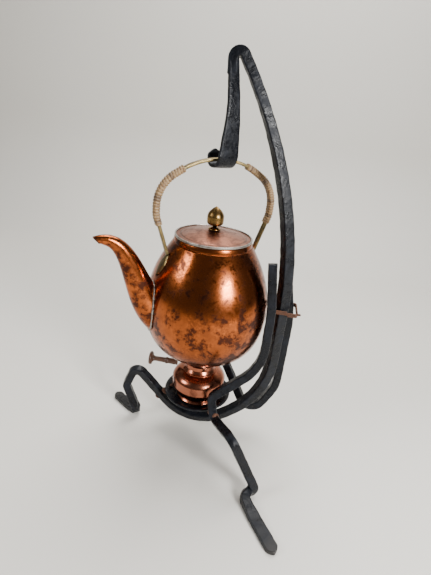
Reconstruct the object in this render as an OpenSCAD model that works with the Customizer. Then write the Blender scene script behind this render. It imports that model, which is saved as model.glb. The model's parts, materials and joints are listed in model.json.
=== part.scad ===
// Copper tea kettle hung on a wrought-iron stand, over a copper spirit burner.
// Frame: millimetres, +Z up, origin on the floor under the hanging kettle,
// +X towards the iron column, -Y towards the front leg.

/* [Stand] */
// Side of the square iron bar
bar = 9.5; // [8:0.5:10]
// Height of the stand's peak
peak_z = 417; // [405:1:430]
// Distance from the kettle's axis to the column
column_x = 81; // [80:0.5:82]
// Radius of the long bend of the column
arch_r = 420; // [380:5:425]
// Thickness of the flattened feet
foot_t = 7.5; // [6:0.5:9]
// Diameter of the binding wire
wire_d = 1.6; // [1:0.1:2]

/* [Hook] */
// Direction that the hook curls towards, about Z
hook_az = 130; // [120:1:140]
// Thickness of the flattened hook
hook_t = 4; // [3:0.5:5]
// Widest part of the flattened hook
hook_w = 21; // [16:1:24]

/* [Dish] */
// Radius of the dish at its rim
dish_r = 39; // [36:0.5:41]
// Height of the dish's rim above the floor
dish_z = 57.5; // [55:0.5:59]
// Sheet thickness of the dish
dish_t = 2; // [1.5:0.25:3]
// Diameter of the three bolts that carry the dish
bolt_d = 4; // [3:0.5:5]

/* [Kettle] */
// Largest radius of the kettle's body
belly_r = 66; // [58:0.5:66]
// Underside of the kettle's body
belly_z0 = 115.5; // [114:0.5:118]
// Height of the widest part
belly_z = 170; // [160:1:176]
// Top of the shoulder, where the collar starts
shoulder_z = 243; // [240:0.5:246]
// Radius of the shoulder at the collar
shoulder_r = 40.5; // [39:0.5:42]
// Thickness of the copper sheet
sheet = 1.2; // [0.8:0.1:1.6]
// Direction of the bail's right end, about Z; the spout points the other way
bail_az = 32; // [20:1:45]

/* [Bail] */
// Centre height of the bail's crown, which is the swing axis
crown_z = 322.5; // [320:0.5:325]
// Half the bail's greatest width
bail_half = 61.5; // [60:0.5:64]
// Thickness of the brass strap, in the bail's plane
bail_t = 3.2; // [2.5:0.1:4]
// Width of the brass strap
bail_w = 6; // [5:0.5:7]
// Thickness of the cane wrapping round the strap
cane_t = 1.75; // [1:0.25:2.5]

/* [Lid] */
// Radius of the lid
lid_r = 39.6; // [38:0.2:41]
// Height of the lid's cone
lid_rise = 7; // [4:0.5:10]
// Largest radius of the acorn knob
knob_r = 8.5; // [6:0.1:9]
// Height of the acorn knob
knob_h = 19; // [16:0.5:22]

/* [Burner] */
// Largest radius of the spirit font
font_r = 30.8; // [28:0.2:32]
// Radius of the foot ring
foot_ring_r = 24.5; // [22:0.5:25]
// Height of the font's shoulder above its foot
font_h = 37; // [34:0.5:38]
// Length of the turned handle
handle_l = 32; // [25:1:36]

/* [Hidden] */

iron = "#1c1d20";
rust = "#5d4436";
copper = "#b0622f";
dull_copper = "#a8704f";
brass = "#9a7b3c";
tin = "#8d8a84";
cane = "#b8935c";
dark_wood = "#3a241b";
cotton = "#ddd6c4";

gap = 0.3;
chamfer = 1;
smooth = 72;
arc_steps = 12;
bore_clear = 0.15;

// ---- paths and sweeps ------------------------------------------------------

function unit(v) = v / norm(v);
function lerp(a, b, t) = a + (b - a) * t;
function direction(az) = [cos(az), sin(az), 0];

// Point of a cubic curve with end points a and d
function cubic(a, b, c, d, t) =
    a * pow(1 - t, 3) + b * 3 * t * pow(1 - t, 2) + c * 3 * t * t * (1 - t) + d * pow(t, 3);

// Points of the arc that rounds corner q, between points p and r
function corner_arc(p, q, r, radius, steps) =
    let (u = unit(p - q), v = unit(r - q), half = acos(u * v) / 2, reach = radius / tan(half),
         centre = q + unit(u + v) * radius / sin(half), a = q + u * reach - centre,
         b = q + v * reach - centre, sweep = 180 - 2 * half)
    [for (i = [0:steps]) centre + (a * sin((1 - i / steps) * sweep) + b * sin(i / steps * sweep)) / sin(sweep)];

// A path of [point, corner radius] pairs, with its corners rounded
function rounded(path, steps = arc_steps) =
    [for (i = [0:len(path) - 1])
        each (i == 0 || i == len(path) - 1) ? [path[i][0]]
            : corner_arc(path[i - 1][0], path[i][0], path[i + 1][0], path[i][1], steps)];

function tangent(p, i) = unit(p[min(i + 1, len(p) - 1)] - p[max(i - 1, 0)]);

// Sideways direction at each point, carried along the path without twisting
function carried(p, side, i = 0) =
    i == len(p) ? []
    : let (t = tangent(p, i), n = unit(side - (side * t) * t)) concat([n], carried(p, n, i + 1));

// Distance along a path at point i
function travelled(p, i) = i == 0 ? 0 : norm(p[i] - p[i - 1]) + travelled(p, i - 1);

// Value at share t of a list of [share, value] pairs
function graded(table, t, i = 0) =
    (i == len(table) - 2 || t <= table[i + 1][0])
    ? lerp(table[i][1], table[i + 1][1],
           (t - table[i][0]) / (table[i + 1][0] - table[i][0]))
    : graded(table, t, i + 1);

// Outline of a square-edged bar, w across and h deep
function bar_section(w, h) =
    let (c = min(chamfer, w / 4, h / 4))
    [[-w / 2 + c, -h / 2], [w / 2 - c, -h / 2], [w / 2, -h / 2 + c], [w / 2, h / 2 - c],
     [w / 2 - c, h / 2], [-w / 2 + c, h / 2], [-w / 2, h / 2 - c], [-w / 2, -h / 2 + c]];

// The same outline turned by an angle about the way of travel
function turned_section(w, h, angle) =
    [for (q = bar_section(w, h)) [q[0] * cos(angle) - q[1] * sin(angle), q[0] * sin(angle) + q[1] * cos(angle)]];

function oval_section(w, h, sides = 24) =
    [for (i = [0:sides - 1]) [w / 2 * cos(i * 360 / sides), h / 2 * sin(i * 360 / sides)]];

// A solid through a list of rings that all have the same number of points
module skin(rings) {
    n = len(rings[0]);
    last = len(rings) - 1;
    points = [for (ring = rings) each ring];
    walls = [for (i = [0:last - 1], j = [0:n - 1])
        let (a = i * n + j, b = i * n + (j + 1) % n) each [[a, b + n, b], [a, a + n, b + n]]];
    cap_a = [for (j = [1:n - 2]) [0, j, j + 1]];
    cap_b = [for (j = [1:n - 2]) [last * n, last * n + j + 1, last * n + j]];
    polyhedron(points, concat(walls, cap_a, cap_b), convexity = 8);
}

function rings_along(p, side, sections) =
    let (sides = carried(p, side))
    [for (i = [0:len(p) - 1])
        let (t = tangent(p, i), n = sides[i], b = cross(t, n))
        [for (q = sections[i]) p[i] + n * q[0] + b * q[1]]];

// Square bar along a rounded path; side is the direction across the bar at its start
module bar_along(path, side, w = bar, h = bar) {
    p = rounded(path);
    skin(rings_along(p, side, [for (q = p) bar_section(w, h)]));
}

// Outline of a strap of the given thickness along a rounded flat path
function strap_outline(p, thick) =
    let (left = [for (i = [0:len(p) - 1]) let (t = tangent(p, i)) p[i] + [-t[1], t[0]] * thick / 2],
         right = [for (i = [len(p) - 1:-1:0]) let (t = tangent(p, i)) p[i] - [-t[1], t[0]] * thick / 2])
    concat(left, right);

// Turns a flat shape up into the vertical plane at az, thick across that plane
module upright(az, thick) {
    rotate([0, 0, az]) rotate([90, 0, 0]) translate([0, 0, -thick / 2]) linear_extrude(thick) children();
}

// Rounded foot, flat on the floor, from the heel to the toe
module foot(heel, toe, heel_r, toe_r) {
    run = toe - heel;
    across = [-run[1], run[0]] / norm(run);
    along = run / norm(run);
    linear_extrude(foot_t) polygon(concat(
        [for (a = [90:15:270]) heel + (along * cos(a) + across * sin(a)) * heel_r],
        [for (a = [-90:15:90]) toe + (along * cos(a) + across * sin(a)) * toe_r]));
}

// ---- stand -----------------------------------------------------------------

arch_lean = 35;
top_bend_r = 5.5;
main_widths = [[0, 8.8], [0.12, 9.2], [0.2, 10.5], [0.32, 12], [0.5, 12], [0.62, 10.5], [0.74, 9.5], [1, 9.5]];
main_twist = -15;
heel_r = bar / 2 + 0.5;
toe_r = bar / 2 + 1.5;
heel_z = 6;

// Main bar: peak, column, under the dish, left knee, left heel
arch_corner = [column_x, 0, peak_z - column_x / tan(arch_lean)];
left_knee = [-77, 0, 76];
left_heel = [-73, 0, heel_z];
main_path = [[[1.5, -2.5, peak_z - 22], 0], [[-0.5, 0, peak_z + 10.5], top_bend_r], [arch_corner, arch_r],
             [[column_x, 0, 64.5], 105], [[-3.65, 0, -3.95], 52], [left_knee, 8],
             [[-88.5, 0, 45], 9], [left_heel, 0]];
left_toe = [-107, 25.5];

// The column is twisted a little, and runs straight again at its ends
function twist_at(z) = main_twist * min(1, max(0, (z - 75) / 40)) * min(1, max(0, (395 - z) / 60));

// Inner bar: on the kettle's side of the column, then the front leg
inner_path = [[[62.5, -20, 235], 0], [[69.4, -24, 185], 150], [[69.4, -24, 117], 50], [[20, -38, 79], 9],
              [[26, -44, 55], 9], [[48.5, -87.5, 72], 9], [[80, -86, 10], 7], [[68, -92, heel_z], 0]];
front_heel = [68, -92];
front_toe = [99, -140];

// Outer bar: behind the column, then the back leg
outer_path = [[[84.5, 12, 203], 0], [[92.5, 12, 165], 150], [[92.5, 12, 72], 55],
              [[69, 12, 25], 14], [[54, 12, 43], 11], [[12, 66, 86], 9], [[9, 89, 47], 9],
              [[12, 100, heel_z], 0]];
back_heel = [12, 100];
back_toe = [8, 145];

// Each bolt: where it crosses its bar, and the direction from there to the dish
bolt_at = [[-44.5, 0, 40.3], [25.3, -42.6, 59], [44.4, 20, 49.6]];
bolt_to = [[-32.5, 0, 54], [19, -32, 55], [32.2, 14.2, 54]];
bolt_head_r = 4;
bolt_head_t = 3;
nut_r = 4.2;
nut_t = 3;

// Runs its children along the line of bolt i, with +Z from the bar to the dish
module on_bolt(i) {
    run = bolt_to[i] - bolt_at[i];
    tilt = acos(run[2] / norm(run));
    turn = atan2(run[1], run[0]);
    translate(bolt_at[i]) rotate([0, tilt, 0] + [0, 0, turn]) children();
}

function bolt_length(i) = norm(bolt_to[i] - bolt_at[i]);

// Round hole for bolt i
module bolt_hole(i) {
    on_bolt(i) translate([0, 0, -bar]) cylinder(h = bar * 2, d = bolt_d + bore_clear * 2, $fn = smooth);
}

module main_bar() {
    p = rounded(main_path);
    total = travelled(p, len(p) - 1);
    sections = [for (i = [0:len(p) - 1])
        let (w = graded(main_widths, travelled(p, i) / total) * bar / 9.5) turned_section(w, w, twist_at(p[i][2]))];
    color(iron) difference() {
        union() {
            skin(rings_along(p, [0, 1, 0], sections));
            foot([left_heel[0], left_heel[1]], left_toe, heel_r, toe_r);
        }
        bolt_hole(0);
    }
}

module inner_bar() {
    color(iron) difference() {
        union() {
            bar_along(inner_path, [0, 1, 0]);
            foot(front_heel, front_toe, heel_r, toe_r);
        }
        bolt_hole(1);
    }
}

module outer_bar() {
    color(iron) difference() {
        union() {
            bar_along(outer_path, [0, 1, 0]);
            foot(back_heel, back_toe, heel_r, toe_r);
        }
        bolt_hole(2);
    }
}

// Hook: strap from the peak, widening downwards, curled under the bail
hook_path = [[[-1.5, peak_z - 7], 0], [[-11, 365], 120], [[-9.7, 318], 10], [[11.2, 317.2], 10],
             [[13.5, 332], 0]];
hook_widths = [[0, 9.5], [0.35, 13], [0.68, hook_w], [0.84, hook_w - 1], [0.95, hook_w - 4], [1, hook_w - 9]];

module hook() {
    along = direction(hook_az);
    flat = rounded(hook_path, 10);
    p = [for (q = flat) along * q[0] + [0, 0, q[1]]];
    total = travelled(p, len(p) - 1);
    sections = [for (i = [0:len(p) - 1]) bar_section(graded(hook_widths, travelled(p, i) / total), hook_t)];
    color(iron) skin(rings_along(p, direction(hook_az - 90), sections));
}

// Wire bound round the main bar and the outer bar
wire_turns = 3;
wire_z = 176;
wire_box = [[72.5, -8.7], [97.3, 18]];
wire_bend = 2.5;
tail = 4;

// One rounded turn of wire about a box, level with the floor
module wire_turn(lo, hi) {
    size = hi - lo;
    for (k = [0:3]) {
        corner = [k == 0 || k == 3 ? hi[0] - wire_bend : lo[0] + wire_bend,
                  k < 2 ? hi[1] - wire_bend : lo[1] + wire_bend];
        translate(corner) rotate([0, 0, 90 * k]) {
            rotate_extrude(angle = 90, $fn = smooth) translate([wire_bend, 0]) circle(d = wire_d, $fn = 24);
            translate([0, wire_bend, 0]) rotate([0, -90, 0])
                cylinder(h = size[k % 2] - 2 * wire_bend, d = wire_d, $fn = 24);
        }
    }
}

module binding_wire() {
    color(rust) {
        for (i = [0:wire_turns - 1]) translate([0, 0, wire_z + i * wire_d * 0.98]) wire_turn(wire_box[0], wire_box[1]);
        translate([wire_box[1][0], wire_box[0][1] + wire_bend + 1, wire_z + wire_d])
            rotate([0, 75, -20]) cylinder(h = tail, d = wire_d * 1.8, $fn = 24);
    }
}

dish_floor_r = 27;
dish_floor_z = dish_z - 9.5;

module drip_dish() {
    color(iron) difference() {
        rotate_extrude($fn = smooth) polygon([
            [0, dish_floor_z], [dish_floor_r, dish_floor_z], [dish_r, dish_z - dish_t],
            [dish_r, dish_z], [dish_r - dish_t, dish_z],
            [dish_floor_r - dish_t / 2, dish_floor_z + dish_t], [0, dish_floor_z + dish_t]]);
        for (i = [0:2]) on_bolt(i) cylinder(h = bolt_length(i) * 2, d = bolt_d + bore_clear * 2, $fn = smooth);
    }
}

module dish_bolts() {
    color(rust) for (i = [0:2]) on_bolt(i) {
        translate([0, 0, -bar / 2 - 0.4]) cylinder(h = bolt_length(i) + bar / 2 + 4, d = bolt_d, $fn = smooth);
        translate([0, 0, -bar / 2 - 0.4]) intersection() {
            sphere(bolt_head_r, $fn = smooth);
            translate([0, 0, -bolt_head_t]) cylinder(h = bolt_head_t, r = bolt_head_r, $fn = smooth);
        }
    }
}

// Hexagon nut, threaded on its bolt
module nut() {
    difference() {
        cylinder(h = nut_t, r = nut_r, $fn = 6);
        translate([0, 0, -1]) cylinder(h = nut_t + 2, d = bolt_d + 0.02, $fn = smooth);
    }
}

module dish_nuts() {
    color(rust) for (i = [0:2]) on_bolt(i) translate([0, 0, bar / 2 + 0.6]) nut();
}

// ---- kettle ----------------------------------------------------------------

floor_r = 28.5;
profile_steps = 12;

// Half outline of the body, from the floor edge to the shoulder
function belly(inset) =
    let (low = [for (i = [0:profile_steps])
             cubic([floor_r, belly_z0], [50, belly_z0 + 0.5], [belly_r, 137], [belly_r, belly_z],
                   i / profile_steps)],
         high = [for (i = [1:profile_steps])
             cubic([belly_r, belly_z], [belly_r, 198], [56, 220], [shoulder_r, shoulder_z],
                   i / profile_steps)])
    strap_side(concat(low, high), inset);

// The outline moved inwards by the sheet thickness
function strap_side(p, inset) =
    [for (i = [0:len(p) - 1]) let (t = tangent(p, i)) p[i] + [-t[1], t[0]] * inset];

module belly_solid(inset) {
    edge = belly(inset);
    rotate_extrude($fn = smooth) polygon(concat([[0, edge[0][1]]], edge, [[0, edge[len(edge) - 1][1]]]));
}

spout_az = bail_az + 180;
spout_hole_r = 9;
spout_hole_z = 177;

module kettle_body() {
    outer = belly(0);
    inner = belly(sheet);
    top = len(inner) - 1;
    color(copper) difference() {
        rotate_extrude($fn = smooth) polygon(concat(
            [[0, belly_z0]], outer, [for (i = [top:-1:0]) inner[i]], [[0, belly_z0 + sheet]]));
        translate([0, 0, spout_hole_z]) rotate([0, 90, spout_az])
            cylinder(h = belly_r * 2, r = spout_hole_r, $fn = smooth);
    }
}

ring_h = 3;

module base_ring() {
    color(dull_copper) rotate_extrude($fn = smooth) polygon([
        [floor_r - 2, belly_z0 - gap / 10], [floor_r - 2, belly_z0 - ring_h], [floor_r + 1, belly_z0 - ring_h],
        [floor_r + 2, belly_z0 - ring_h / 2], [floor_r + 1, belly_z0 - gap / 10]]);
}

collar_r = 39.5;
collar_h = 4.5;
mouth_r = 37;

module collar() {
    color(copper) rotate_extrude($fn = smooth) polygon([
        [mouth_r, shoulder_z], [shoulder_r, shoulder_z], [collar_r, shoulder_z + collar_h],
        [mouth_r, shoulder_z + collar_h]]);
}

// Spout: a swan neck that narrows from the body to a beak
spout_steps = 14;
spout_wall = 1.2;

function spout_centre(t) =
    let (q = cubic([52, 164], [83, 189], [80, 257], [118, 248], t)) direction(spout_az) * q[0] + [0, 0, q[1]];
function spout_height(t) = 2 * (3.8 + 15 * pow(max(0, 1 - t), 1.1));
function spout_width(t) = 2 * (3.4 + 11.6 * pow(max(0, 1 - t), 1.1));

// Solid swan neck between two shares of its length, thinned by inset
module swan_neck(t0, t1, inset, steps = spout_steps) {
    ts = [for (i = [0:steps]) lerp(t0, t1, i / steps)];
    p = [for (t = ts) spout_centre(t)];
    sections = [for (t = ts) oval_section(spout_width(t) - 2 * inset, spout_height(t) - 2 * inset)];
    skin(rings_along(p, direction(spout_az + 90), sections));
}

module spout() {
    color(copper) difference() {
        swan_neck(0, 1, 0);
        swan_neck(-0.01, 1.01, spout_wall);
        belly_solid(-0.05);
    }
}

module spout_seam() {
    color(tin) difference() {
        swan_neck(0.02, 0.16, -1.2, 4);
        swan_neck(0, 0.4, -0.05, 8);
        belly_solid(-0.05);
    }
}

bail_low = [48.5, 232];
bail_shoulder_z = [271, 299.2];
bail_top = [0, crown_z + 14.7];

// Half of the bail's path is mirrored to make the other half
bail_half_path = [[bail_low, 0], [[bail_half, bail_shoulder_z[0]], 26], [[bail_half, bail_shoulder_z[1]], 34]];
bail_path = concat([for (q = bail_half_path) [[-q[0][0], q[0][1]], q[1]]], [[bail_top, 76]],
                   [for (i = [2:-1:0]) bail_half_path[i]]);

module bail_strap(thick, wide) {
    upright(bail_az, wide) polygon(strap_outline(rounded(bail_path), thick));
}

module bail() {
    color(brass) bail_strap(bail_t, bail_w);
}

// Leaf-shaped foot of the bail, lying on the shoulder; side is 1 or -1
leaf_z = [210, 231];
leaf_half = 6.5;
leaf_t = 1.4;

module leaf(side) {
    intersection() {
        difference() {
            belly_solid(-0.05 - leaf_t);
            belly_solid(-0.05);
        }
        rotate([0, 0, bail_az + (side > 0 ? 0 : 180)]) rotate([90, 0, 90]) linear_extrude(belly_r * 2)
            polygon([[0, leaf_z[0]], [leaf_half, lerp(leaf_z[0], leaf_z[1], 0.6)], [leaf_half / 2, leaf_z[1]],
                     [-leaf_half / 2, leaf_z[1]], [-leaf_half, lerp(leaf_z[0], leaf_z[1], 0.6)]]);
    }
}

module bail_feet() {
    color(brass) difference() {
        union() for (side = [-1, 1]) leaf(side);
        bail_strap(bail_t + 0.1, bail_w + 0.1);
    }
}

// Cane wound round the strap, over the part of the bail beyond reach, on one side
module cane_wrap(side, reach, low_z) {
    covered = [for (q = rounded(bail_path)) if (q[0] * side > reach && q[1] > low_z) q];
    color(cane) difference() {
        upright(bail_az, bail_w + 1.2 * cane_t) polygon(strap_outline(covered, bail_t + 2 * cane_t));
        bail_strap(bail_t + 0.1, bail_w + 0.1);
    }
}

module cane_wrap_left() {
    cane_wrap(-1, 37, 262);
}

module cane_wrap_right() {
    cane_wrap(1, 28, 262);
}

// ---- lid -------------------------------------------------------------------

lid_z = shoulder_z + collar_h + gap;
lid_sheet = 1.2;
rim_h = 2.4;
plate_r = lid_r - 1.6;
stem_r = 2;
washer_r = 6.4;
washer_h = 2.6;
apex_z = lid_z + rim_h / 2 + lid_rise;

module lid_plate() {
    color(dull_copper) rotate_extrude($fn = smooth) polygon([
        [stem_r + bore_clear, apex_z - lid_sheet], [plate_r, lid_z + rim_h / 2 - lid_sheet / 2],
        [plate_r, lid_z + rim_h / 2 + lid_sheet / 2], [stem_r + bore_clear, apex_z]]);
}

module lid_rim() {
    color(tin) rotate_extrude($fn = smooth) polygon([
        [plate_r, lid_z], [lid_r - 0.5, lid_z], [lid_r, lid_z + rim_h / 4], [lid_r, lid_z + rim_h * 3 / 4],
        [lid_r - 0.5, lid_z + rim_h], [plate_r, lid_z + rim_h]]);
}

flange_r = mouth_r - gap;
flange_h = 9;

module lid_flange() {
    color(tin) rotate_extrude($fn = smooth) polygon([
        [flange_r - 1, lid_z - flange_h], [flange_r, lid_z - flange_h], [flange_r, lid_z + 0.4],
        [flange_r - 1, lid_z + 0.4]]);
}

knob_z = apex_z + washer_h + 2;
knob_steps = 10;

module lid_knob() {
    low = [for (i = [0:knob_steps]) cubic([3, 0], [knob_r * 1.1, 0], [knob_r, 3], [knob_r, 8], i / knob_steps)];
    high = [for (i = [1:knob_steps])
        cubic([knob_r, 8], [knob_r, 13], [4, knob_h - 2.5], [0, knob_h], i / knob_steps)];
    color(brass) {
        translate([0, 0, knob_z]) rotate_extrude($fn = smooth) polygon(concat([[0, 0]], low, high));
        translate([0, 0, apex_z - 4.5]) cylinder(h = knob_z - apex_z + 5, r = stem_r, $fn = smooth);
    }
}

module knob_washer() {
    color(brass) rotate_extrude($fn = smooth) polygon([
        [stem_r + bore_clear / 2, apex_z + 0.1], [washer_r, apex_z + 0.1], [washer_r, apex_z + 1],
        [washer_r / 2, apex_z + washer_h], [stem_r + bore_clear / 2, apex_z + washer_h]]);
}

module knob_nut() {
    color(brass) translate([0, 0, apex_z - 4.4]) difference() {
        cylinder(h = 2.2, r = 3.8, $fn = 6);
        translate([0, 0, -1]) cylinder(h = 5, r = stem_r + 0.01, $fn = smooth);
    }
}

// ---- burner ----------------------------------------------------------------

burner_z = dish_floor_z + dish_t + gap;
font_top = burner_z + font_h;
font_mouth_r = 12;
font_sheet = 1;
foot_h = 4;

// Half outline of the font, from its floor to its shoulder
function font_edge(inset) =
    strap_side([for (i = [0:profile_steps])
        cubic([foot_ring_r - 1.5, burner_z + foot_h], [font_r + 1, burner_z + 14], [font_r + 7, font_top - 6],
              [19.5, font_top], i / profile_steps)], inset);

module font() {
    outer = font_edge(0);
    inner = font_edge(font_sheet);
    top = len(inner) - 1;
    color(dull_copper) rotate_extrude($fn = smooth) polygon(concat(
        [[0, burner_z + foot_h]], outer, [[font_mouth_r, font_top], [font_mouth_r, font_top - font_sheet]],
        [for (i = [top - 1:-1:1]) inner[i]], [[0, burner_z + foot_h + font_sheet]]));
}

module font_foot() {
    color(dull_copper) rotate_extrude($fn = smooth) polygon([
        [foot_ring_r - 5, burner_z], [foot_ring_r - 0.6, burner_z], [foot_ring_r, burner_z + 0.8],
        [foot_ring_r, burner_z + 2], [foot_ring_r - 2, burner_z + foot_h], [foot_ring_r - 5, burner_z + foot_h]]);
}

neck_h = 11.5;
neck_top = font_top + neck_h;
neck_top_r = 13;
tube_r = 5;
tube_wall = 0.7;

module burner_neck() {
    color(dull_copper) rotate_extrude($fn = smooth) polygon([
        [font_mouth_r + 0.5, font_top + 0.05], [19.5, font_top + 0.05], [19.5, font_top + 1.2],
        [18.3, font_top + 1.6], [neck_top_r + 1, neck_top - 2], [neck_top_r, neck_top],
        [tube_r + bore_clear, neck_top], [tube_r + bore_clear, neck_top - 1.2],
        [neck_top_r - 1, neck_top - 1.2], [17, font_top + 1.6], [font_mouth_r + 0.5, font_top + 1.2]]);
}

module wick_tube() {
    color(brass) translate([0, 0, font_top - 8]) difference() {
        cylinder(h = neck_h + 10, r = tube_r, $fn = smooth);
        translate([0, 0, -1]) cylinder(h = neck_h + 20, r = tube_r - tube_wall, $fn = smooth);
    }
}

module wick() {
    wick_r = tube_r - tube_wall - bore_clear;
    color(cotton) translate([0, 0, burner_z + foot_h + 6]) cylinder(h = neck_top + 4 - burner_z - foot_h - 6,
                                                                   r = wick_r, $fn = smooth);
}

// Regulator: a collar that turns on the neck, with an arm and a turned handle
handle_az = 180;
handle_z = 90;
arm_x = 28;
reg_z = neck_top - 5.5;
reg_in = 16.4;
reg_out = 18;
reg_h = 5;
arm_w = 4;
arm_t = 2.6;

module regulator_collar() {
    color(brass) translate([0, 0, reg_z]) difference() {
        cylinder(h = reg_h, r = reg_out, $fn = smooth);
        translate([0, 0, -1]) cylinder(h = reg_h + 2, r = reg_in, $fn = smooth);
    }
}

module regulator_arm() {
    color(dark_wood) rotate([0, 0, handle_az]) {
        translate([reg_out - 0.02, -arm_w / 2, reg_z + 1]) cube([arm_x - reg_out + arm_t / 2, arm_w, arm_t]);
        translate([arm_x - arm_t / 2, -arm_w / 2, handle_z - 3]) cube([arm_t, arm_w, reg_z + 1.5 - handle_z + 3]);
    }
}

module regulator_handle() {
    x0 = arm_x + arm_t / 2;
    color(dark_wood) rotate([0, 0, handle_az]) translate([x0, 0, handle_z]) rotate([0, 90, 0])
        rotate_extrude($fn = smooth) polygon([
            [0, 0], [3.6, 0], [3.4, 9], [3.9, 10], [3.9, 11], [3.2, 12], [2.8, handle_l - 8], [3.6, handle_l - 5],
            [7, handle_l - 4], [7.9, handle_l - 2.5], [7.4, handle_l - 0.8], [0, handle_l]]);
}

main_bar();
hook();
inner_bar();
outer_bar();
binding_wire();
drip_dish();
dish_bolts();
dish_nuts();
kettle_body();
base_ring();
collar();
spout();
spout_seam();
bail();
bail_feet();
cane_wrap_left();
cane_wrap_right();
lid_plate();
lid_rim();
lid_flange();
lid_knob();
knob_washer();
knob_nut();
font();
font_foot();
burner_neck();
wick_tube();
wick();
regulator_collar();
regulator_arm();
regulator_handle();
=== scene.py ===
"""Looks of a copper tea kettle hung on a wrought-iron stand over a spirit burner.

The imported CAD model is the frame. Every visible piece is built here as a smooth surface around it:
bars and straps are swept along rounded paths, and round pieces are turned from a profile.
Lengths are millimetres in the frame's own axes unless a docstring says otherwise, and meshes are
written in metres.
"""

import bpy
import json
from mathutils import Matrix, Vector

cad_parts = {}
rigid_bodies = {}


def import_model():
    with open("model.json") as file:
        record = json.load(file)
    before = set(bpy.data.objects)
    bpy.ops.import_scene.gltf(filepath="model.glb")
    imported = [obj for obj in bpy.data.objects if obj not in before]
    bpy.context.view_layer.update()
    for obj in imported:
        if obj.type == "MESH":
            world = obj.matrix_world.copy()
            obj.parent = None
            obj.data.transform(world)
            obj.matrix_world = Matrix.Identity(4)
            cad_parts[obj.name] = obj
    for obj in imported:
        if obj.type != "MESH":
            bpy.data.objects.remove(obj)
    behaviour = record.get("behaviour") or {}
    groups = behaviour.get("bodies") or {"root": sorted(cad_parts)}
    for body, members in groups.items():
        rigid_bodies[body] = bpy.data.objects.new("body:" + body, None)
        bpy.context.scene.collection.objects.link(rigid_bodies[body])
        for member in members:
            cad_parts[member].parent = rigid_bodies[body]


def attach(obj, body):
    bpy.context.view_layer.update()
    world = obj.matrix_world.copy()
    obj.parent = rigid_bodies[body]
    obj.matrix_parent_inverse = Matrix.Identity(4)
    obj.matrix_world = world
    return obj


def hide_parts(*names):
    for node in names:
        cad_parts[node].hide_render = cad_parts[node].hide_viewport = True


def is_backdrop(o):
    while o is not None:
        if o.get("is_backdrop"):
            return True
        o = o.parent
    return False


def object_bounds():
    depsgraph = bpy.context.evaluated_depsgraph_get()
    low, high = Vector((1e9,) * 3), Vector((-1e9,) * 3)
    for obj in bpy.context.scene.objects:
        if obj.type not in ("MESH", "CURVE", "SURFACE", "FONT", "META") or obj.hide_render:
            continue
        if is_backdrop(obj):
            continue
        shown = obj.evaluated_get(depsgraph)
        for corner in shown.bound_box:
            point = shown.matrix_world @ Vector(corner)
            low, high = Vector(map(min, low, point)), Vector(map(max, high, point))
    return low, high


# A new Blender file holds a cube, a lamp and a camera.
for _leftover in list(bpy.data.objects):
    bpy.data.objects.remove(_leftover)

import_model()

import enum
import json
import logging
import math
from dataclasses import dataclass, field

import numpy as np
from mathutils import Matrix, Vector

log = logging.getLogger("kettle")

MM = 0.001
Array = np.ndarray
UP = np.array([0.0, 0.0, 1.0])
Point = tuple[float, float]
Colour = tuple[float, float, float]


class Body(str, enum.Enum):
    """CAD bodies that the pieces ride on."""

    STAND = "stand"
    KETTLE = "kettle"
    LID = "lid"
    BURNER = "burner"
    REGULATOR = "regulator"


# ---- paths -------------------------------------------------------------------


def unit(v: Array) -> Array:
    """Scales vectors to length one along the last axis."""
    return v / np.maximum(np.linalg.norm(v, axis=-1, keepdims=True), 1e-12)


def heading(azimuth: float) -> Array:
    """Level unit vector at an azimuth in degrees about +Z, from +X."""
    a = math.radians(azimuth)
    return np.array([math.cos(a), math.sin(a), 0.0])


def smoothstep(x: Array, low: float, high: float) -> Array:
    """Rises from 0 at low to 1 at high with level ends."""
    t = np.clip((np.asarray(x, float) - low) / (high - low), 0, 1)
    return t * t * (3 - 2 * t)


def bent(a: Point, b: Point, c: Point, d: Point, count: int) -> Array:
    """Points of a cubic curve from a to d that leaves towards b and arrives from c."""
    t = np.linspace(0, 1, count)[:, None]
    a, b, c, d = (np.array(p, float) for p in (a, b, c, d))
    return a * (1 - t) ** 3 + b * 3 * t * (1 - t) ** 2 + c * 3 * t * t * (1 - t) + d * t**3


def rounded(corners: list[tuple[tuple[float, ...], float]], steps: int = 24) -> Array:
    """Path through corners, each rounded by an arc that is tangent to both sides.

    Args:
        corners: (point, radius) pairs; the first and last radius are ignored.
        steps: Steps in each arc.

    Returns:
        Points, one row each.
    """
    points = [np.array(p, float) for p, _ in corners]
    out = [points[0]]
    for i in range(1, len(points) - 1):
        radius = corners[i][1]
        q = points[i]
        u, v = unit(points[i - 1] - q), unit(points[i + 1] - q)
        half = math.acos(float(np.clip(u @ v, -1, 1))) / 2
        reach = radius / math.tan(half)
        centre = q + unit(u + v) * radius / math.sin(half)
        a, b = q + u * reach - centre, q + v * reach - centre
        sweep = math.pi - 2 * half
        share = np.linspace(0, 1, steps + 1)[:, None]
        arc = (a * np.sin((1 - share) * sweep) + b * np.sin(share * sweep)) / math.sin(sweep)
        out.extend(centre + arc)
    out.append(points[-1])
    return np.array(out)


def travelled(path: Array) -> Array:
    """Distance along a path at each of its points."""
    return np.concatenate([[0.0], np.cumsum(np.linalg.norm(np.diff(path, axis=0), axis=1))])


def respaced(path: Array, spacing: float) -> Array:
    """The same path with points at an even spacing."""
    s = travelled(path)
    keep = np.concatenate([[True], np.diff(s) > 1e-9])
    path, s = path[keep], s[keep]
    even = np.linspace(0, s[-1], max(3, int(s[-1] / spacing) + 1))
    return np.stack([np.interp(even, s, path[:, k]) for k in range(path.shape[1])], axis=1)


def tangents(path: Array) -> Array:
    """Unit direction of travel at each point."""
    return unit(np.gradient(path, axis=0))


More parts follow.
